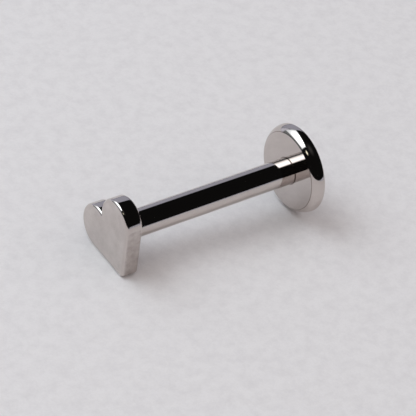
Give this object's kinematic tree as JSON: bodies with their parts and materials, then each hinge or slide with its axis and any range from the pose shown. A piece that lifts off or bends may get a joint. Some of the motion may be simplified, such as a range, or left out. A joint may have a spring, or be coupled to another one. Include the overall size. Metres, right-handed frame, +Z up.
{
  "type": "labret stud",
  "caption": "Polished steel labret stud: a flat heart plate pinned to a straight round post with a flat round disc on its other end.",
  "frame": {"origin": "on the resting surface, under the middle of the lying stud's box", "axes": "+X runs along the post from the heart to the disc, seen from above; +Z up; the tip of the heart points to -Y"},
  "size_m": [0.01, 0.004, 0.004],
  "materials": {
    "heart_steel": "surgical steel, mirror-polished sides and a slightly satin front face",
    "pin_steel": "plain drawn steel wire, hidden",
    "back_steel": "surgical steel, mirror-polished all over"
  },
  "bodies": {
    "root": {"heart_top": "heart_steel", "top_pin": "pin_steel", "labret_back": "back_steel"}
  },
  "joints": []
}
